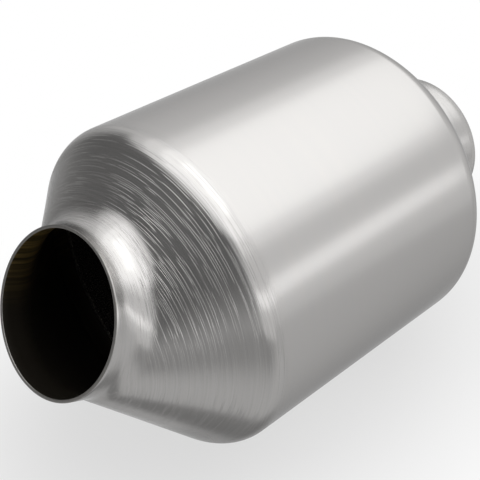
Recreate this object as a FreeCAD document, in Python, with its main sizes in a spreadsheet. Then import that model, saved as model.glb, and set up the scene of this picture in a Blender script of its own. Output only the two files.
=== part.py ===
import FreeCAD, Part
import math
import os
import Sketcher
from FreeCAD import Placement, Rotation, Vector

# Catalytic converter: a spun shell, a ceramic brick, its support mat and two seals.
# Millimetres, +Z up. The can's axis is the X axis and the gas runs towards +X.
# The origin is the centre of the outlet mouth, and places are measured back from it.

os.makedirs("parts", exist_ok=True)
doc = FreeCAD.newDocument("converter")

# Driving dimensions
SIZES = [
    # The can, a 5 inch tube with both ends spun down. It reaches past the brick at each
    # end, as far as the corner that its straight side and the spun end would meet in.
    ("can_diameter", 127.0),
    ("end_room", 6.7),
    ("shell_wall", 1.2),
    ("shoulder_radius", 10.0),
    # The necks, which a 2 1/4 inch exhaust pipe slides into
    ("pipe_diameter", 57.15),
    ("pipe_clearance", 0.1),
    ("neck_radius", 10.0),
    # The outlet, straight on the can
    ("outlet_reach", 46.8),
    ("outlet_neck", 23.3),
    # The inlet, spun at an angle: it leans up, with its mouth above the can's axis
    ("inlet_reach", 42.2),
    ("inlet_rise", 14.2),
    ("inlet_tilt", 25.0),
    ("inlet_neck", 11.0),
    # The brick, 4.66 by 4 inches, with its square channels drawn coarse
    ("brick_length", 101.6),
    ("brick_skin", 1.0),
    ("channel_pitch", 6.35),
    ("channel_wall", 0.9),
    # The mat, which fills the gap round the brick and closes with a tongue in a groove
    ("mat_gap", 3.1),
    ("seam_gap", 0.8),
    ("tongue_width", 30.0),
    ("tongue_length", 20.0),
    # The knitted wire seals beside the mat
    ("seal_width", 6.5),
    ("seal_rounding", 0.7),
]
sheet = doc.addObject("Spreadsheet::Sheet", "Sizes")
for row, (alias, value) in enumerate(SIZES, start=1):
    sheet.set("A%d" % row, alias)
    sheet.set("B%d" % row, str(value))
    sheet.setAlias("B%d" % row, alias)
doc.recompute()

# Sizes and places that follow from the driving ones
CAN_R = "Sizes.can_diameter / 2"
LINING_R = "(Sizes.can_diameter / 2 - Sizes.shell_wall)"
BRICK_R = "(Sizes.can_diameter / 2 - Sizes.shell_wall - Sizes.mat_gap)"
NECK_R = "(Sizes.pipe_diameter / 2 + Sizes.pipe_clearance + Sizes.shell_wall)"
REAR_CORNER = "Sizes.outlet_reach"
BRICK_REAR = "(%s + Sizes.end_room)" % REAR_CORNER
BRICK_FRONT = "(%s + Sizes.brick_length)" % BRICK_REAR
FRONT_CORNER = "(%s + Sizes.end_room)" % BRICK_FRONT
INLET_MOUTH = "(%s + Sizes.inlet_reach)" % FRONT_CORNER
INLET_ROOT = "(%s - Sizes.inlet_neck * cos(Sizes.inlet_tilt))" % INLET_MOUTH
ROOT_RISE = "(Sizes.inlet_rise - Sizes.inlet_neck * sin(Sizes.inlet_tilt))"
MAT_FRONT = "(%s - Sizes.seal_width)" % BRICK_FRONT
MAT_REAR = "(%s + Sizes.seal_width)" % BRICK_REAR
HALF_GAP = "Sizes.seam_gap / 2"


def number(expression):
    """The value of an expression over the sheet, in millimetres or degrees."""
    return float(sheet.evalExpression(expression))


# Helpers for bodies and sketches
def new_body(label):
    body = doc.addObject("PartDesign::Body", label)
    body.Label = label
    return body


def origin_item(body, role):
    return next(item for item in body.Origin.OriginFeatures if item.Role == role)


def new_sketch(body, name, role, height="0"):
    """A sketch on one of the body's origin planes, moved along its normal."""
    sketch = body.newObject("Sketcher::SketchObject", name)
    sketch.AttachmentSupport = [(origin_item(body, role), "")]
    sketch.MapMode = "FlatFace"
    sketch.setExpression("AttachmentOffset.Base.z", height)
    return sketch


def bind(sketch, name, constraint, expression):
    """Adds a named constraint and ties it to the sheet."""
    sketch.renameConstraint(sketch.addConstraint(constraint), name)
    sketch.setExpression("Constraints." + name, expression)


def add_circle(sketch, name, radius):
    """A circle about the sketch's origin, which starts at the top."""
    curve = Part.Circle(Vector(), Vector(0, 0, 1), number(radius))
    curve.AngleXU = math.pi / 2
    circle = sketch.addGeometry(curve, False)
    sketch.addConstraint(Sketcher.Constraint("Coincident", circle, 3, -1, 1))
    bind(sketch, name, Sketcher.Constraint("Radius", circle, number(radius)), radius)


def add_polygon(sketch, corners):
    """A closed outline. Each corner is a name, how far it lies back along the can's axis
    from the sketch's origin, and its height off that axis."""
    points = [Vector(-number(back), number(off), 0) for _, back, off in corners]
    lines = []
    for start, end in zip(points, points[1:] + points[:1]):
        lines.append(sketch.addGeometry(Part.LineSegment(start, end), False))
    for index, (name, back, off) in enumerate(corners):
        before = lines[index - 1]
        line = lines[index]
        sketch.addConstraint(Sketcher.Constraint("Coincident", before, 2, line, 1))
        if number(back) == 0:
            sketch.addConstraint(Sketcher.Constraint("PointOnObject", line, 1, -2))
        else:
            place = Sketcher.Constraint("DistanceX", line, 1, -1, 1, number(back))
            bind(sketch, name + "_back", place, back)
        if number(off) == 0:
            sketch.addConstraint(Sketcher.Constraint("PointOnObject", line, 1, -1))
        else:
            place = Sketcher.Constraint("DistanceY", -1, 1, line, 1, number(off))
            bind(sketch, name + "_off", place, off)


def circle_edges(shape, centre, radius):
    """The names of the edges that lie on one circle."""
    names = []
    for index, edge in enumerate(shape.Edges, start=1):
        curve = edge.Curve
        if curve.TypeId != "Part::GeomCircle" or abs(curve.Radius - radius) > 0.001:
            continue
        if (curve.Center - centre).Length < 0.001:
            names.append("Edge%d" % index)
    return names


def flat_face(shape, centre):
    """The name of the flat face about a point."""
    for index, face in enumerate(shape.Faces, start=1):
        if face.Surface.TypeId == "Part::GeomPlane" and (face.CenterOfMass - centre).Length < 0.01:
            return "Face%d" % index
    raise RuntimeError("no flat face at %s" % centre)


def fillet(body, base, name, edges, radius):
    feature = body.newObject("PartDesign::Fillet", name)
    feature.Base = (base, edges)
    feature.setExpression("Radius", radius)
    doc.recompute()
    return feature


# Spun shell: one tube wall from the outlet mouth to the inlet mouth.
# The outlet end is turned about the can's axis. The inlet end is an oblique cone between
# the can's front circle and the circle at the root of the leaning neck.
shell = new_body("spun_shell")
outline = new_sketch(shell, "can_outline", "XZ_Plane")
add_polygon(outline, [
    ("front_centre", FRONT_CORNER, "0"),
    ("front_corner", FRONT_CORNER, CAN_R),
    ("rear_corner", REAR_CORNER, CAN_R),
    ("outlet_root", "Sizes.outlet_neck", NECK_R),
    ("outlet_rim", "0", NECK_R),
    ("outlet_centre", "0", "0"),
])
can = shell.newObject("PartDesign::Revolution", "can_and_outlet")
can.Profile = outline
can.ReferenceAxis = (origin_item(shell, "X_Axis"), [""])
can.Angle = 360

front_circle = new_sketch(shell, "front_circle", "YZ_Plane", "-" + FRONT_CORNER)
add_circle(front_circle, "can_radius", CAN_R)
root_circle = new_sketch(shell, "root_circle", "YZ_Plane", "-" + INLET_ROOT)
root_circle.AttachmentOffset = Placement(Vector(), Rotation(Vector(1, 0, 0), number("Sizes.inlet_tilt")))
root_circle.setExpression("AttachmentOffset.Base.y", ROOT_RISE)
root_circle.setExpression("AttachmentOffset.Rotation.Angle", "Sizes.inlet_tilt")
add_circle(root_circle, "neck_outside", NECK_R)
oblique_cone = shell.newObject("PartDesign::AdditiveLoft", "oblique_cone")
oblique_cone.Profile = front_circle
oblique_cone.Sections = [root_circle]
oblique_cone.Ruled = True
inlet_neck = shell.newObject("PartDesign::Pad", "inlet_neck")
inlet_neck.Profile = root_circle
inlet_neck.setExpression("Length", "Sizes.inlet_neck")
inlet_neck.Reversed = True
doc.recompute()

# The roller leaves one radius on both shoulders and one at the root of both necks
front_corner = Vector(-number(FRONT_CORNER), 0, 0)
rear_corner = Vector(-number(REAR_CORNER), 0, 0)
inlet_root = Vector(-number(INLET_ROOT), 0, number(ROOT_RISE))
outlet_root = Vector(-number("Sizes.outlet_neck"), 0, 0)
inlet_mouth = Vector(-number(INLET_MOUTH), 0, number("Sizes.inlet_rise"))
solid = inlet_neck
for name, centre, circle, radius in [
    ("front_shoulder", front_corner, CAN_R, "Sizes.shoulder_radius"),
    ("rear_shoulder", rear_corner, CAN_R, "Sizes.shoulder_radius"),
    ("inlet_root_bend", inlet_root, NECK_R, "Sizes.neck_radius"),
    ("outlet_root_bend", outlet_root, NECK_R, "Sizes.neck_radius"),
]:
    edges = circle_edges(solid.Shape, centre, number(circle))
    solid = fillet(shell, solid, name, edges, radius)

wall = shell.newObject("PartDesign::Thickness", "tube_wall")
wall.Base = (solid, [flat_face(solid.Shape, inlet_mouth), flat_face(solid.Shape, Vector())])
wall.setExpression("Value", "Sizes.shell_wall")
wall.Reversed = True
doc.recompute()

# Ceramic brick: one pressed-out honeycomb, with square channels from end to end.
# The channels at its edge are cut off round, where the skin closes them.
brick = new_body("ceramic_brick")
section = new_sketch(brick, "brick_section", "YZ_Plane", "-" + BRICK_FRONT)
add_circle(section, "brick_radius", BRICK_R)
pitch = number("Sizes.channel_pitch")
opening = pitch - number("Sizes.channel_wall")
channel_field = Part.Face(Part.Wire(Part.makeCircle(number(BRICK_R) - number("Sizes.brick_skin"))))
rows = math.ceil(number(BRICK_R) / pitch)
channel_sides = []
for row in range(-rows, rows + 1):
    for column in range(-rows, rows + 1):
        corner = Vector(column * pitch - opening / 2, row * pitch - opening / 2, 0)
        channel = Part.makePlane(opening, opening, corner).common(channel_field)
        if channel.Area < opening ** 2 / 3:
            continue
        for edge in channel.Edges:
            channel_sides.append(edge.Curve.trim(edge.FirstParameter, edge.LastParameter))
section.addGeometry(channel_sides, False)
honeycomb = brick.newObject("PartDesign::Pad", "honeycomb")
honeycomb.Profile = section
honeycomb.setExpression("Length", "Sizes.brick_length")

# Support mat: a flat blanket wrapped round the brick, which fills the space to the shell.
# Its ends meet on the shell's underside, a tongue on one end lying in a groove in the other.
mat = new_body("support_mat")
blanket = new_sketch(mat, "mat_section", "YZ_Plane", "-" + MAT_FRONT)
add_circle(blanket, "mat_outside", LINING_R)
add_circle(blanket, "mat_inside", BRICK_R)
wrap = mat.newObject("PartDesign::Pad", "wrap")
wrap.Profile = blanket
wrap.setExpression("Length", "%s - %s" % (MAT_FRONT, MAT_REAR))
seam = new_sketch(mat, "seam_line", "XY_Plane")
MIDDLE = "((%s + %s) / 2)" % (MAT_FRONT, MAT_REAR)
TONGUE_FRONT = "(%s + Sizes.tongue_width / 2)" % MIDDLE
TONGUE_REAR = "(%s - Sizes.tongue_width / 2)" % MIDDLE
add_polygon(seam, [
    ("front_low", MAT_FRONT, "-" + HALF_GAP),
    ("root_front_low", TONGUE_FRONT + " - " + HALF_GAP, "-" + HALF_GAP),
    ("tip_front_low", TONGUE_FRONT + " - " + HALF_GAP, "Sizes.tongue_length - " + HALF_GAP),
    ("tip_rear_low", TONGUE_REAR + " + " + HALF_GAP, "Sizes.tongue_length - " + HALF_GAP),
    ("root_rear_low", TONGUE_REAR + " + " + HALF_GAP, "-" + HALF_GAP),
    ("rear_low", MAT_REAR, "-" + HALF_GAP),
    ("rear_high", MAT_REAR, HALF_GAP),
    ("root_rear_high", TONGUE_REAR + " - " + HALF_GAP, HALF_GAP),
    ("tip_rear_high", TONGUE_REAR + " - " + HALF_GAP, "Sizes.tongue_length + " + HALF_GAP),
    ("tip_front_high", TONGUE_FRONT + " + " + HALF_GAP, "Sizes.tongue_length + " + HALF_GAP),
    ("root_front_high", TONGUE_FRONT + " + " + HALF_GAP, HALF_GAP),
    ("front_high", MAT_FRONT, HALF_GAP),
])
tongue_and_groove = mat.newObject("PartDesign::Pocket", "tongue_and_groove")
tongue_and_groove.Profile = seam
tongue_and_groove.setExpression("Length", LINING_R)
doc.recompute()


# Mesh seals: knitted wire rope pressed flat between the brick and the shell.
# One lies at each end of the mat and keeps the gas from wearing its edge away.
def new_seal(label, front):
    """A ring from the named distance back from the outlet mouth, towards the outlet."""
    seal = new_body(label)
    flat = new_sketch(seal, label + "_section", "YZ_Plane", "-" + front)
    add_circle(flat, "seal_outside", LINING_R)
    add_circle(flat, "seal_inside", BRICK_R)
    rope = seal.newObject("PartDesign::Pad", label + "_rope")
    rope.Profile = flat
    rope.setExpression("Length", "Sizes.seal_width")
    doc.recompute()
    ends = [-number(front), -number(front) + number("Sizes.seal_width")]
    edges = []
    for end in ends:
        for radius in (LINING_R, BRICK_R):
            edges += circle_edges(rope.Shape, Vector(end, 0, 0), number(radius))
    fillet(seal, rope, label + "_corners", edges, "Sizes.seal_rounding")
    return seal


seals = [
    new_seal("inlet_mesh_seal", BRICK_FRONT),
    new_seal("outlet_mesh_seal", MAT_REAR),
]

# Each piece is checked before anything is written
doc.recompute()
for item in doc.Objects:
    if "Invalid" in item.State or "Error" in item.State:
        raise RuntimeError("%s: %s" % (item.Label, item.State))
pieces = [shell, brick, mat] + seals
for piece in pieces:
    shape = piece.Shape
    if shape.isNull() or not shape.isValid() or len(shape.Solids) != 1:
        raise RuntimeError("%s is not one valid solid" % piece.Label)
    print("%-18s %10.1f mm3" % (piece.Label, shape.Volume))
for piece in pieces:
    piece.Shape.exportStep("parts/%s.step" % piece.Label)
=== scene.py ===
import math

import bmesh
import bpy
from mathutils import Matrix, Vector, noise


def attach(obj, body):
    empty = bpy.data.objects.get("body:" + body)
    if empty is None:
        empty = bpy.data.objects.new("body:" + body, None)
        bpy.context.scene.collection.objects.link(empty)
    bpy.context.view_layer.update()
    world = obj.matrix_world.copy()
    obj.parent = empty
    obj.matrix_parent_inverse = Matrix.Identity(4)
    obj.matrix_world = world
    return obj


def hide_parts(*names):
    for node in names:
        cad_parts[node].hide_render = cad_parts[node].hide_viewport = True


# Catalytic converter: a spun shell round a ceramic honeycomb, its mat and two wire seals.
# Metres, in the CAD frame: the can's axis is X, the outlet mouth is at the origin, +Z is up.
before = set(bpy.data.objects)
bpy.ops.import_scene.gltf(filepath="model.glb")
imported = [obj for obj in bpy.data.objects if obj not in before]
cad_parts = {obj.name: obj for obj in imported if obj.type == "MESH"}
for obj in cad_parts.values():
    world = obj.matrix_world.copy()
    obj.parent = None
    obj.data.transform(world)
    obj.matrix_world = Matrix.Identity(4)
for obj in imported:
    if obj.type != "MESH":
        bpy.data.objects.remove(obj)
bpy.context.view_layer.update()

# Spun shell. A 5 inch stainless steel tube whose two ends a roller has spun down to necks
# for 2 1/4 inch pipe. The inlet end is spun at an angle, so its neck leans up, and the
# roller's path stays on both ends as fine rings.
MM = 0.001
CAN_RADIUS = 63.5 * MM
NECK_RADIUS = 29.875 * MM
WALL = 1.2 * MM
FRONT_CORNER = Vector((-161.8 * MM, 0, 0))
REAR_CORNER = Vector((-46.8 * MM, 0, 0))
OUTLET_ROOT = Vector((-23.3 * MM, 0, 0))
OUTLET_MOUTH = Vector((0, 0, 0))
INLET_MOUTH = Vector((-204.0 * MM, 0, 14.2 * MM))
INLET_NECK = 11.0 * MM
LEAN = math.radians(25)
INLET_ROOT = INLET_MOUTH + Vector((math.cos(LEAN), 0, -math.sin(LEAN))) * INLET_NECK
# Rolled bends, from the inlet neck's root to the outlet neck's root
BENDS = (13.0 * MM, 10.0 * MM, 10.0 * MM, 10.0 * MM)
# The rim's corners are broken; each has two points, given as shares of this rounding
RIM_ROUNDING = 0.25 * MM
RIM_POINTS = ((0.3, 0.7), (1.0, 1.0))

# Faces round the can, and along the five straight runs and the four bends between them
AROUND = 300
OUTSIDE_ROWS = (4, 120, 14, 36, 5)
INSIDE_ROWS = (2, 10, 6, 8, 2)
OUTSIDE_BEND_ROWS = 16
INSIDE_BEND_ROWS = 8

# The roller's path, in millimetres along the wall from the inlet rim. Its rings turn from
# the neck's axis to the can's over RINGS_TURN. From there each millimetre of the can's axis,
# counted from CONE_START, is WALL_PER_AXIS millimetres of wall.
RINGS_TURN = (4.0, 14.0)
CONE_START = -205.0
WALL_PER_AXIS = 1.3
# Depth and pitch of the pressed rings in millimetres, their change round the can, and a seed
RING_WAVES = ((0.005, 2.2, 0.8, 0), (0.008, 4.5, 0.7, 40))
# All rings lie below the tube's skin, by this on average, and fade out in the shoulders
RINGS_SUNK = 0.02
FADE_ROWS = 8


def round_bend(before, corner, after, bend, inset, rows):
    """Points along the bend in a corner of the wall, on the face that lies inset below."""
    back = (before - corner).normalized()
    on = (after - corner).normalized()
    half = back.angle(on) / 2
    centre = corner + (back + on).normalized() * bend / math.sin(half)
    start = corner + back * bend / math.tan(half) - centre
    end = corner + on * bend / math.tan(half) - centre
    is_shoulder = centre.yz.length < corner.yz.length
    radius = bend - inset if is_shoulder else bend + inset
    return [centre + start.slerp(end, row / rows).normalized() * radius
            for row in range(rows + 1)]


def wall_line(angle, inset, run_rows, bend_rows):
    """The wall at one angle round the can, from the inlet mouth to the outlet mouth."""
    out = Vector((0, math.sin(angle), math.cos(angle)))
    leaning = Matrix.Rotation(LEAN, 3, "Y") @ out
    corners = [
        INLET_MOUTH + leaning * NECK_RADIUS,
        INLET_ROOT + leaning * NECK_RADIUS,
        FRONT_CORNER + out * CAN_RADIUS,
        REAR_CORNER + out * CAN_RADIUS,
        OUTLET_ROOT + out * NECK_RADIUS,
        OUTLET_MOUTH + out * NECK_RADIUS,
    ]
    line = [INLET_MOUTH + leaning * (NECK_RADIUS - inset)]
    for place, radius in enumerate(BENDS):
        bend = round_bend(*corners[place:place + 3], radius, inset, bend_rows)
        steps = run_rows[place]
        line += [line[-1].lerp(bend[0], step / steps) for step in range(1, steps)] + bend
    end = OUTLET_MOUTH + out * (NECK_RADIUS - inset)
    steps = run_rows[-1]
    line += [line[-1].lerp(end, step / steps) for step in range(1, steps + 1)]
    return line


def loop_line(angle):
    """The wall's closed section at one angle: outside, outlet rim, inside, inlet rim.

    Also gives how many of its points lie outside and how many on one rim.
    """
    outside = wall_line(angle, 0, OUTSIDE_ROWS, OUTSIDE_BEND_ROWS)
    inside = wall_line(angle, WALL, INSIDE_ROWS, INSIDE_BEND_ROWS)
    for line in (outside, inside):
        line[0] = line[0].lerp(line[1], RIM_ROUNDING / (line[1] - line[0]).length)
        line[-1] = line[-1].lerp(line[-2], RIM_ROUNDING / (line[-2] - line[-1]).length)
    rims = []
    for place in (-1, 0):
        outer, inner = outside[place], inside[place]
        across = (inner - outer).normalized()
        past = across.cross(Vector((0, math.cos(angle), -math.sin(angle))))
        if (place == 0) != (past.x < 0):
            past = -past
        rim = [outer + (across * a + past * b) * RIM_ROUNDING for a, b in RIM_POINTS]
        rim += [inner + (-across * a + past * b) * RIM_ROUNDING for a, b in RIM_POINTS[::-1]]
        rims.append(rim)
    outlet_rim, inlet_rim = rims
    return outside + outlet_rim + inside[::-1] + inlet_rim[::-1], len(outside), len(outlet_rim)


def roller_path(along, x):
    """A place in the roller's path, in millimetres of wall. The rings lie square to the can's
    axis all over the cone, and square to the neck's own axis only on the neck."""
    start, end = RINGS_TURN
    on_cone = min(1, max(0, (along - start) / (end - start)))
    return along * (1 - on_cone) + WALL_PER_AXIS * (x / MM - CONE_START) * on_cone


def ring_relief(path, angle):
    """How far the roller has pressed the wall in, in millimetres, at a place in its path."""
    depth = 0.0
    for height, pitch, around, seed in RING_WAVES:
        spot = Vector((around * math.sin(angle), around * math.cos(angle), path / pitch + seed))
        depth += height * noise.noise(spot)
    return depth


def add_piece(name, mesh):
    """Makes an object of a finished bmesh, at the origin, and frees the bmesh."""
    data = bpy.data.meshes.new(name)
    mesh.to_mesh(data)
    mesh.free()
    piece = bpy.data.objects.new(name, data)
    bpy.context.scene.collection.objects.link(piece)
    return piece


section, outside_count, rim_count = loop_line(0)
side, _, _ = loop_line(math.pi / 2)
along_wall = [0.0]
for here, there in zip(side, side[1:]):
    along_wall.append(along_wall[-1] + (there - here).length / MM)
front_bend_end = OUTSIDE_ROWS[0] + 2 * OUTSIDE_BEND_ROWS + OUTSIDE_ROWS[1] + 1
rear_bend_start = front_bend_end + OUTSIDE_ROWS[2] - 1

shell_mesh = bmesh.new()
row_of = shell_mesh.verts.layers.int.new("row")
lathe = shell_mesh.verts.layers.float_vector.new("lathe")
ring = shell_mesh.verts.layers.float_vector.new("ring")
profile = []
for row, place in enumerate(section):
    vert = shell_mesh.verts.new(place)
    vert[row_of] = row
    profile.append(vert)
edges = [shell_mesh.edges.new(pair) for pair in zip(profile, profile[1:] + profile[:1])]
bmesh.ops.spin(shell_mesh, geom=profile + edges, cent=(0, 0, 0), axis=(1, 0, 0),
               dvec=(0, 0, 0), angle=2 * math.pi, steps=AROUND, use_merge=True,
               use_duplicate=False)

# The spun ring is leaned to its true line at each angle, and the roller's rings pressed in.
# Each point keeps its angle, as sine and cosine, with its place along the wall or the path.
lines = {}
for vert in shell_mesh.verts:
    step = round(math.atan2(vert.co.y, vert.co.z) / (2 * math.pi) * AROUND)
    angle = 2 * math.pi * step / AROUND
    if step not in lines:
        lines[step] = loop_line(angle)[0]
    line = lines[step]
    row = vert[row_of]
    place = line[row].copy()
    path = roller_path(along_wall[row], place.x)
    vert[lathe] = (math.sin(angle), math.cos(angle), along_wall[row])
    vert[ring] = (math.sin(angle), math.cos(angle), path)
    if 2 < row < outside_count - 3:
        run = (line[row + 1] - line[row - 1]).normalized()
        out = Vector((0, math.sin(angle), math.cos(angle)))
        out = (out - run * out.dot(run)).normalized()
        spun_inlet = min(1, max(0, (front_bend_end - row) / FADE_ROWS))
        spun_outlet = min(1, max(0, (row - rear_bend_start) / FADE_ROWS))
        depth = (RINGS_SUNK + ring_relief(path, angle)) * MM
        place -= out * (spun_inlet + spun_outlet) * depth
    vert.co = place
bmesh.ops.recalc_face_normals(shell_mesh, faces=shell_mesh.faces)

STEEL, CUT_EDGE, INSIDE_SKIN = 0, 1, 2
for face in shell_mesh.faces:
    rows = [vert[row_of] for vert in face.verts]
    low, high = min(rows), max(rows)
    face.smooth = True
    on_outlet_rim = low >= outside_count - 1 and high <= outside_count + rim_count
    on_inlet_rim = low >= len(section) - rim_count - 1 or (
        low == 0 and high == len(section) - 1)
    if on_outlet_rim or on_inlet_rim:
        face.material_index = CUT_EDGE
    elif high < outside_count:
        face.material_index = STEEL
    else:
        face.material_index = INSIDE_SKIN
shell = add_piece("shell_tube", shell_mesh)


def linear(code):
    """An sRGB hex colour as linear red, green, blue and alpha."""
    parts = [int(code[place:place + 2], 16) / 255 for place in (1, 3, 5)]
    return [v / 12.92 if v <= 0.04045 else ((v + 0.055) / 1.055) ** 2.4 for v in parts] + [1.0]


def new_material(name):
    """An empty material and its tree."""
    made = bpy.data.materials.new(name)
    made.use_nodes = True
    made.node_tree.nodes.clear()
    return made, made.node_tree


def add_node(tree, kind, settings, feeds):
    """Adds a node with its settings; a feed is a value, or the output that goes to a socket."""
    node = tree.nodes.new(kind)
    for name, value in settings.items():
        setattr(node, name, value)
    for socket, feed in feeds.items():
        if isinstance(feed, bpy.types.NodeSocket):
            tree.links.new(feed, node.inputs[socket])
        else:
            node.inputs[socket].default_value = feed
    return node


def calculate(tree, operation, *feeds):
    """The result of one step of arithmetic."""
    step = add_node(tree, "ShaderNodeMath", {"operation": operation}, dict(enumerate(feeds)))
    return step.outputs[0]


def fade(tree, value, span, ends, kind="SMOOTHSTEP"):
    """Goes from the first to the second of the ends while the value crosses the span."""
    return add_node(tree, "ShaderNodeMapRange", {"interpolation_type": kind}, {
        "Value": value, "From Min": span[0], "From Max": span[1],
        "To Min": ends[0], "To Max": ends[1]}).outputs[0]


def blend(tree, factor, first, second):
    """A mix of two colours, each of them a hex code or another node's output."""
    first, second = (linear(one) if isinstance(one, str) else one for one in (first, second))
    return add_node(tree, "ShaderNodeMix", {"data_type": "RGBA"}, {
        "Factor": factor, "A": first, "B": second}).outputs["Result"]


def grain(tree, spots, cells, detail, seed=(0, 0, 0)):
    """Noise with its own number of cells to each unit of the three directions."""
    spread = add_node(tree, "ShaderNodeMapping", {}, {
        "Vector": spots, "Location": seed, "Scale": cells})
    return add_node(tree, "ShaderNodeTexNoise", {}, {
        "Vector": spread.outputs[0], "Scale": 1.0, "Detail": detail}).outputs["Fac"]


def cover(tree, feeds):
    """Ends a material with its surface."""
    surface = add_node(tree, "ShaderNodeBsdfPrincipled", {}, feeds)
    add_node(tree, "ShaderNodeOutputMaterial", {}, {"Surface": surface.outputs[0]})


# Satin stainless steel, cold rolled and then spun: an even soft mirror with fine rings,
# and brighter thin ridges between them. Cells count per radian round the can, and per
# millimetre along the roller's path. The spans are millimetres along the wall.
FINE_RINGS = (1.5, 1.5, 4.2)
RIDGES, RIDGES_SEED = (2.6, 2.6, 3.5), (5, 0, 9)
PATCHES, PATCHES_SEED = (1.6, 1.6, 0.13), (0, 3, 5)
ROLLED_TONE = (0.9, 0.9, 0.5)
NECK_MARKS = (6.0, 16.0)
INLET_MARKS_END = (57.0, 65.0)
OUTLET_MARKS = (172.0, 184.0)
MARK_HEIGHT = 0.05 * MM

steel, tree = new_material("spun_stainless_steel")
place = add_node(tree, "ShaderNodeAttribute", {"attribute_name": "lathe"}, {}).outputs["Vector"]
path = add_node(tree, "ShaderNodeAttribute", {"attribute_name": "ring"}, {}).outputs["Vector"]
along = add_node(tree, "ShaderNodeSeparateXYZ", {}, {"Vector": place}).outputs["Z"]
fine = grain(tree, path, FINE_RINGS, 1.0)
ridges = grain(tree, path, RIDGES, 0.0, RIDGES_SEED)
ridges = fade(tree, ridges, (0.57, 0.71), (0.0, 0.9))
patches = grain(tree, path, PATCHES, 1.0, PATCHES_SEED)
patches = fade(tree, patches, (0.36, 0.60), (0.60, 1.15))
tone = grain(tree, place, ROLLED_TONE, 2.0)
inlet_marks = fade(tree, along, INLET_MARKS_END, (1.0, 0.0))
neck_marks = fade(tree, along, NECK_MARKS, (0.25, 1.0))
outlet_marks = fade(tree, along, OUTLET_MARKS, (0.0, 0.5))
marks = calculate(tree, "MULTIPLY_ADD", inlet_marks, neck_marks, outlet_marks)
weight = calculate(tree, "MULTIPLY", patches, marks)
height = calculate(tree, "MULTIPLY_ADD", fine, 0.45, ridges)
height = calculate(tree, "MULTIPLY", height, weight)
relief = add_node(tree, "ShaderNodeBump", {}, {"Height": height, "Distance": MARK_HEIGHT})
worn = fade(tree, fine, (0.35, 0.7), (0.0, 0.12), "LINEAR")
worn = calculate(tree, "MULTIPLY", worn, marks)
colour = blend(tree, tone, "#B1B0AF", "#B4B2B0")
colour = blend(tree, worn, colour, "#8A8885")
sheen = fade(tree, marks, (0.0, 1.0), (0.23, 0.18), "LINEAR")
cover(tree, {"Base Color": colour, "Metallic": 1.0, "Roughness": sheen,
             "Specular Tint": (0.55, 0.55, 0.55, 1.0), "Normal": relief.outputs[0]})

# Sawn rim, deburred: the same steel, duller and darker than its skin, in millimetre spots
rim_steel, tree = new_material("deburred_cut_steel")
place = add_node(tree, "ShaderNodeTexCoord", {}, {}).outputs["Object"]
scratches = add_node(tree, "ShaderNodeTexNoise", {}, {
    "Vector": place, "Scale": 0.9 / MM, "Detail": 2.0})
cover(tree, {"Base Color": blend(tree, scratches.outputs["Fac"], "#807E7B", "#9A9895"),
             "Metallic": 1.0, "Roughness": 0.42})

# Inside of the tube: the steel painted near-black as shade, half glossy, with a painted brown
# sheen in streaks that run along the tube, browner towards its top
STREAKS = (26.0, 26.0, 0.012)

inner_painted_shade, tree = new_material("inner_steel_painted_shade_and_sheen")
place = add_node(tree, "ShaderNodeAttribute", {"attribute_name": "lathe"}, {}).outputs["Vector"]
upward = add_node(tree, "ShaderNodeSeparateXYZ", {}, {"Vector": place}).outputs["Y"]
# Painted sheen: pale brown streaks over dark brown, going to painted near-black shade towards
# the tube's bottom
painted_sheen_streaks = fade(tree, grain(tree, place, STREAKS, 3.0), (0.32, 0.66), (0.0, 1.0))
colour = blend(tree, painted_sheen_streaks, "#3A3018", "#8C7645")
colour = blend(tree, fade(tree, upward, (-0.5, 0.7), (0.0, 1.0)), "#2C2822", colour)
cover(tree, {"Base Color": colour, "Metallic": 0.5, "Roughness": 0.34})

for finish in (steel, rim_steel, inner_painted_shade):
    shell.data.materials.append(finish)
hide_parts("spun_shell")
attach(shell, "root")

# Ceramic brick. One piece of cordierite, pressed out as a honeycomb of thin walls inside a
# round skin, 4.66 inches across and 4 inches long, with a porous coating on every wall.
BRICK_RADIUS = 59.2 * MM
BRICK_FRONT = -155.1 * MM
BRICK_LENGTH = 101.6 * MM
SKIN = 0.6 * MM
CELL_PITCH = 1.8 * MM
CELL_WALL = 0.3 * MM

brick_mesh = bmesh.new()
cells = 2 * math.ceil(BRICK_RADIUS / CELL_PITCH)
bmesh.ops.create_grid(brick_mesh, x_segments=cells, y_segments=cells,
                      size=cells * CELL_PITCH / 2)
field_radius = BRICK_RADIUS - SKIN
outer_cells = [face for face in brick_mesh.faces
               if face.calc_center_median().length > field_radius]
bmesh.ops.delete(brick_mesh, geom=outer_cells, context="FACES")
for vert in brick_mesh.verts:
    if vert.co.length > field_radius or vert.is_boundary:
        vert.co *= field_radius / vert.co.length
channels = list(brick_mesh.faces)
skin_edges = [edge for edge in brick_mesh.edges if edge.is_boundary]
skin = bmesh.ops.extrude_edge_only(brick_mesh, edges=skin_edges)
for item in skin["geom"]:
    if isinstance(item, bmesh.types.BMVert):
        item.co *= BRICK_RADIUS / item.co.length
bmesh.ops.inset_individual(brick_mesh, faces=channels, thickness=CELL_WALL / 2,
                           use_even_offset=True)
bmesh.ops.delete(brick_mesh, geom=channels, context="FACES_ONLY")
front = bmesh.ops.extrude_face_region(brick_mesh, geom=list(brick_mesh.faces))
moved = [item for item in front["geom"] if isinstance(item, bmesh.types.BMVert)]
bmesh.ops.translate(brick_mesh, verts=moved, vec=(0, 0, BRICK_LENGTH))
bmesh.ops.recalc_face_normals(brick_mesh, faces=brick_mesh.faces)
laid_down = Matrix.Translation((BRICK_FRONT, 0, 0)) @ Matrix.Rotation(math.pi / 2, 4, "Y")
bmesh.ops.transform(brick_mesh, verts=brick_mesh.verts, matrix=laid_down)
brick = add_piece("honeycomb_brick", brick_mesh)

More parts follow.
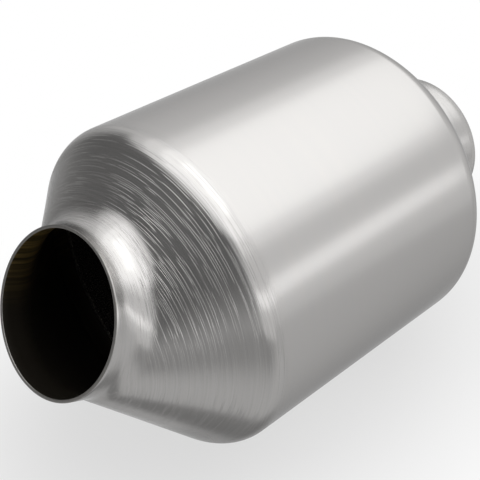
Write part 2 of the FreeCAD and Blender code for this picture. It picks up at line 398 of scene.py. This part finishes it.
# Cordierite under its washcoat: matt and dark brown, with a grain of fine oxide powder
washcoat, tree = new_material("washcoated_cordierite")
place = add_node(tree, "ShaderNodeTexCoord", {}, {}).outputs["Object"]
powder = add_node(tree, "ShaderNodeTexNoise", {}, {
    "Vector": place, "Scale": 0.7 / MM, "Detail": 4.0}).outputs["Fac"]
grit = add_node(tree, "ShaderNodeBump", {}, {"Height": powder, "Distance": 0.05 * MM})
cover(tree, {"Base Color": blend(tree, powder, "#1C1814", "#2E2822"),
             "Roughness": 0.9, "Normal": grit.outputs[0]})
brick.data.materials.append(washcoat)
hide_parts("ceramic_brick")
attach(brick, "root")

# Support mat. A blanket of ceramic fibre and mica flakes, wrapped round the brick and
# pressed to 3 mm in the can. It stays the CAD's own ring, hidden by the shell.
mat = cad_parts["support_mat"]

# Pressed ceramic fibre: dull cream, short tangled fibres and specks of mica
fibre, tree = new_material("pressed_ceramic_fibre")
place = add_node(tree, "ShaderNodeTexCoord", {}, {}).outputs["Object"]
tangle = add_node(tree, "ShaderNodeTexNoise", {}, {
    "Vector": place, "Scale": 0.35 / MM, "Detail": 6.0, "Distortion": 2.0}).outputs["Fac"]
nap = add_node(tree, "ShaderNodeBump", {}, {"Height": tangle, "Distance": 0.3 * MM})
cover(tree, {"Base Color": blend(tree, tangle, "#BFAE8C", "#E4D9BF"),
             "Roughness": 0.95, "Normal": nap.outputs[0]})
mat.data.materials.clear()
mat.data.materials.append(fibre)

# Wire seals. Ropes of knitted stainless wire, pressed flat beside each edge of the mat to
# keep the gas from wearing it away. They stay the CAD's own rings, hidden by the shell.
seals = [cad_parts["inlet_mesh_seal"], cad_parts["outlet_mesh_seal"]]

# Knitted 0.25 mm stainless wire: dull grey, with painted shade: the gaps between the loops are
# coloured dark
knit, tree = new_material("knitted_stainless_wire")
place = add_node(tree, "ShaderNodeTexCoord", {}, {}).outputs["Object"]
loops = add_node(tree, "ShaderNodeTexVoronoi", {"feature": "DISTANCE_TO_EDGE"}, {
    "Vector": place, "Scale": 0.9 / MM}).outputs["Distance"]
wire = fade(tree, loops, (0.05, 0.2), (1.0, 0.0), "LINEAR")
twist = add_node(tree, "ShaderNodeBump", {}, {"Height": wire, "Distance": 0.15 * MM})
# Painted shade: dark colour in the gaps between the wire loops
cover(tree, {"Base Color": blend(tree, wire, "#3A3835", "#A5A29C"),
             "Metallic": 1.0, "Roughness": 0.45, "Normal": twist.outputs[0]})
for seal in seals:
    seal.data.materials.clear()
    seal.data.materials.append(knit)

# Studio. A white floor that the converter lies on, a large softbox overhead, a low strip
# light on the right, and a glowing card, seen only in the steel, whose painted reflection
# gives the inlet end its dark side.
FLOOR_HEIGHT = -CAN_RADIUS
FLOOR_RADIUS = 6.0
MIDDLE = Vector((-0.105, 0, 0))
WHITE = (1, 1, 1, 1)

floor_mesh = bmesh.new()
bmesh.ops.create_circle(floor_mesh, cap_ends=True, segments=96, radius=FLOOR_RADIUS)
bmesh.ops.translate(floor_mesh, verts=floor_mesh.verts, vec=(MIDDLE.x, 0, FLOOR_HEIGHT))
floor = add_piece("floor", floor_mesh)


def seen_rays(tree):
    """1 for what the camera sees itself or in a mirror or a glass, and 0 for plain light."""
    rays = add_node(tree, "ShaderNodeLightPath", {}, {}).outputs
    seen = calculate(tree, "MAXIMUM", rays["Is Camera Ray"], rays["Is Glossy Ray"])
    return calculate(tree, "MAXIMUM", seen, rays["Is Transmission Ray"])


# White paper that keeps the shadow near the converter, in a long oval, and goes to plain
# white further out. The spans are metres from the oval's middle.
SHADOW_OVAL = (0.6, 1, 0)
SHADOW_EDGE = (0.05, 0.15)

paper, tree = new_material("white_paper")
place = add_node(tree, "ShaderNodeTexCoord", {}, {}).outputs["Object"]
centred = add_node(tree, "ShaderNodeVectorMath", {"operation": "SUBTRACT"}, {
    0: place, 1: (MIDDLE.x, 0, FLOOR_HEIGHT)})
oval = add_node(tree, "ShaderNodeVectorMath", {"operation": "MULTIPLY"}, {
    0: centred.outputs[0], 1: SHADOW_OVAL})
reach = add_node(tree, "ShaderNodeVectorMath", {"operation": "LENGTH"}, {0: oval.outputs[0]})
plain = fade(tree, reach.outputs["Value"], SHADOW_EDGE, (0.62, 1.0))
plain = calculate(tree, "MULTIPLY", plain, seen_rays(tree))
sheet = add_node(tree, "ShaderNodeBsdfDiffuse", {}, {"Color": (0.75, 0.75, 0.75, 1)})
glow = add_node(tree, "ShaderNodeEmission", {}, {"Color": WHITE, "Strength": 1.0})
surface = add_node(tree, "ShaderNodeMixShader", {}, {
    0: plain, 1: sheet.outputs[0], 2: glow.outputs[0]})
add_node(tree, "ShaderNodeOutputMaterial", {}, {"Surface": surface.outputs[0]})
floor.data.materials.append(paper)

# The room: plain white where it is seen, and a weak even light otherwise
ROOM_LIGHT = 0.20

world = bpy.data.worlds.new("studio")
world.use_nodes = True
tree = world.node_tree
tree.nodes.clear()
dim = add_node(tree, "ShaderNodeBackground", {}, {"Color": WHITE, "Strength": ROOM_LIGHT})
bright = add_node(tree, "ShaderNodeBackground", {}, {"Color": WHITE, "Strength": 1.0})
sky = add_node(tree, "ShaderNodeMixShader", {}, {
    0: seen_rays(tree), 1: dim.outputs[0], 2: bright.outputs[0]})
add_node(tree, "ShaderNodeOutputWorld", {}, {"Surface": sky.outputs[0]})
bpy.context.scene.world = world


def softbox(name, place, aim, size, radiance):
    """A flat lamp that faces a point. Its radiance is what a mirror would show of it."""
    width, height = size
    lamp = bpy.data.lights.new(name, "AREA")
    lamp.shape = "RECTANGLE"
    lamp.size = width
    lamp.size_y = height
    lamp.energy = radiance * math.pi * width * height
    facing = Vector(aim) - Vector(place)
    lamp_object = bpy.data.objects.new(name, lamp)
    lamp_object.location = place
    lamp_object.rotation_euler = facing.to_track_quat("-Z", "Y").to_euler()
    lamp_object.visible_camera = False
    bpy.context.scene.collection.objects.link(lamp_object)


softbox("softbox_edge", (0.12, -0.15, 0.62), (0.12, -0.15, 0), (1.70, 1.36), 0.42)
softbox("softbox_core", (0.10, -0.14, 0.61), (0.10, -0.14, 0), (1.36, 0.88), 0.56)
softbox("top_lamp", (-0.08, -0.10, 0.60), (-0.08, -0.10, 0), (0.30, 0.44), 0.65)
softbox("low_strip", (-0.02, -0.85, 0.135), (-0.1, 0, 0), (1.7, 0.16), 0.85)

# Reflection card: a painted reflection, a glowing sheet that only the steel shows, with no
# shadow, and it takes no light away. An apron on the floor round the inlet end, a wall that
# stands on its edge, and a paler sheet on the floor beside the can.
# Each part is an edge, given by radius and height, that sweeps from an azimuth by an angle.
CARD_CENTRE = Vector((-0.17, 0, FLOOR_HEIGHT))
CARD_LOW = FLOOR_HEIGHT + 1 * MM
CARD_TOP = 0.30
CARD_RADIUS = 0.30
CARD_STEPS = 60
CARD_PARTS = (
    ((0.003, CARD_LOW), (CARD_RADIUS, CARD_LOW), 50, 220),
    ((CARD_RADIUS, CARD_LOW), (CARD_RADIUS, CARD_TOP), 50, 190),
    ((0.03, CARD_LOW), (0.62, CARD_LOW), 270, 68),
)

card_mesh = bmesh.new()
for start, end, azimuth, sweep in CARD_PARTS:
    turned = Matrix.Rotation(math.radians(azimuth), 4, "Z")
    ends = [card_mesh.verts.new(turned @ Vector((radius, 0, height)))
            for radius, height in (start, end)]
    bmesh.ops.spin(card_mesh, geom=ends + [card_mesh.edges.new(ends)], cent=(0, 0, 0),
                   axis=(0, 0, 1), angle=math.radians(sweep), steps=CARD_STEPS)
bmesh.ops.translate(card_mesh, verts=card_mesh.verts, vec=(CARD_CENTRE.x, 0, 0))
card = add_piece("painted_reflection_card", card_mesh)
card.visible_camera = False
card.visible_diffuse = False
card.visible_shadow = False

# Painted reflection: a grey glow, darker outwards and upwards and a little paler at the very
# middle, that pales to white at the card's ends and top. A darker strip under the cone is a
# painted reflection of the shade beneath it. Lengths are metres from the centre, or above the
# floor.
# Angles are counted from the side that faces away from the can.
NEAR_TO_FAR = (0.08, 0.17)
LOW_TO_HIGH = (0.0, 0.17)
UNDER_CONE = (0.024, 0.042)
TOP_EDGE = (0.30, 0.3635)
LEFT_END = (math.radians(80), math.radians(116))
RIGHT_END = (math.radians(-100), math.radians(-75))
WALL_TURN = math.radians(35)
BESIDE_EDGE = (0.38, 0.60)
STRIP_PLACE = (-0.014, -0.039, 0)
STRIP_TURN = math.radians(-37)
STRIP_HALF = (0.047, 0.0125, 1)

card_reflection_paint, tree = new_material("card_painted_reflection")
place = add_node(tree, "ShaderNodeTexCoord", {}, {}).outputs["Object"]
centred = add_node(tree, "ShaderNodeVectorMath", {"operation": "SUBTRACT"}, {
    0: place, 1: CARD_CENTRE}).outputs[0]
rise = add_node(tree, "ShaderNodeSeparateXYZ", {}, {"Vector": centred}).outputs["Z"]
flat = add_node(tree, "ShaderNodeVectorMath", {"operation": "MULTIPLY"}, {
    0: centred, 1: (-1, 1, 0)}).outputs[0]
split = add_node(tree, "ShaderNodeSeparateXYZ", {}, {"Vector": flat}).outputs
turn = calculate(tree, "ARCTAN2", split["Y"], split["X"])
reach = add_node(tree, "ShaderNodeVectorMath", {"operation": "LENGTH"}, {0: flat})
reach = reach.outputs["Value"]
grey = calculate(tree, "MULTIPLY", fade(tree, reach, NEAR_TO_FAR, (0.74, 0.46)),
                 fade(tree, rise, LOW_TO_HIGH, (1.0, 0.45)))
grey = calculate(tree, "MULTIPLY", grey, fade(tree, reach, UNDER_CONE, (1.2, 1.0)))
left_end = fade(tree, turn, LEFT_END, (0.0, 1.0))
shift = fade(tree, rise, (0.0, 0.01), (0.0, WALL_TURN), "LINEAR")
right_end = fade(tree, calculate(tree, "SUBTRACT", turn, shift), RIGHT_END, (1.0, 0.0))
beside = calculate(tree, "MAXIMUM", fade(tree, reach, BESIDE_EDGE, (0.77, 1.0)),
                   fade(tree, rise, (0.002, 0.03), (0.0, 1.0), "LINEAR"))
top = fade(tree, rise, TOP_EDGE, (0.0, 1.0))
shade = grey
for factor, target in ((left_end, 1.0), (right_end, beside), (top, 1.0)):
    shade = add_node(tree, "ShaderNodeMix", {}, {
        "Factor": factor, "A": shade, "B": target}).outputs[0]
strip = add_node(tree, "ShaderNodeMapping", {"vector_type": "TEXTURE"}, {
    "Vector": centred, "Location": STRIP_PLACE, "Rotation": (0, 0, STRIP_TURN),
    "Scale": STRIP_HALF})
strip = add_node(tree, "ShaderNodeVectorMath", {"operation": "LENGTH"}, {0: strip.outputs[0]})
# Painted reflection of shade: the strip under the cone halves the card's glow
reflected_shadow_band = fade(tree, strip.outputs["Value"], (0.6, 1.4), (0.50, 1.0))
shade = calculate(tree, "MULTIPLY", shade, reflected_shadow_band)
surface = add_node(tree, "ShaderNodeEmission", {}, {"Color": WHITE, "Strength": shade})
add_node(tree, "ShaderNodeOutputMaterial", {}, {"Surface": surface.outputs[0]})
card.data.materials.append(card_reflection_paint)

# Camera, at the height and angle of the photograph
LOOK_AZIMUTH = math.radians(45.0)
LOOK_DOWN = math.radians(34.5)
CAMERA_PLACE = (-0.3489, -0.2323, 0.2274)

camera = bpy.data.cameras.new("camera")
camera.sensor_width = 36
camera.lens = 76.5
camera.clip_start = 0.01
look = Vector((math.cos(LOOK_AZIMUTH) * math.cos(LOOK_DOWN),
               math.sin(LOOK_AZIMUTH) * math.cos(LOOK_DOWN), -math.sin(LOOK_DOWN)))
camera_object = bpy.data.objects.new("camera", camera)
camera_object.location = CAMERA_PLACE
camera_object.rotation_euler = look.to_track_quat("-Z", "Y").to_euler()
bpy.context.scene.collection.objects.link(camera_object)
bpy.context.scene.camera = camera_object
bpy.context.scene.view_settings.view_transform = "Standard"
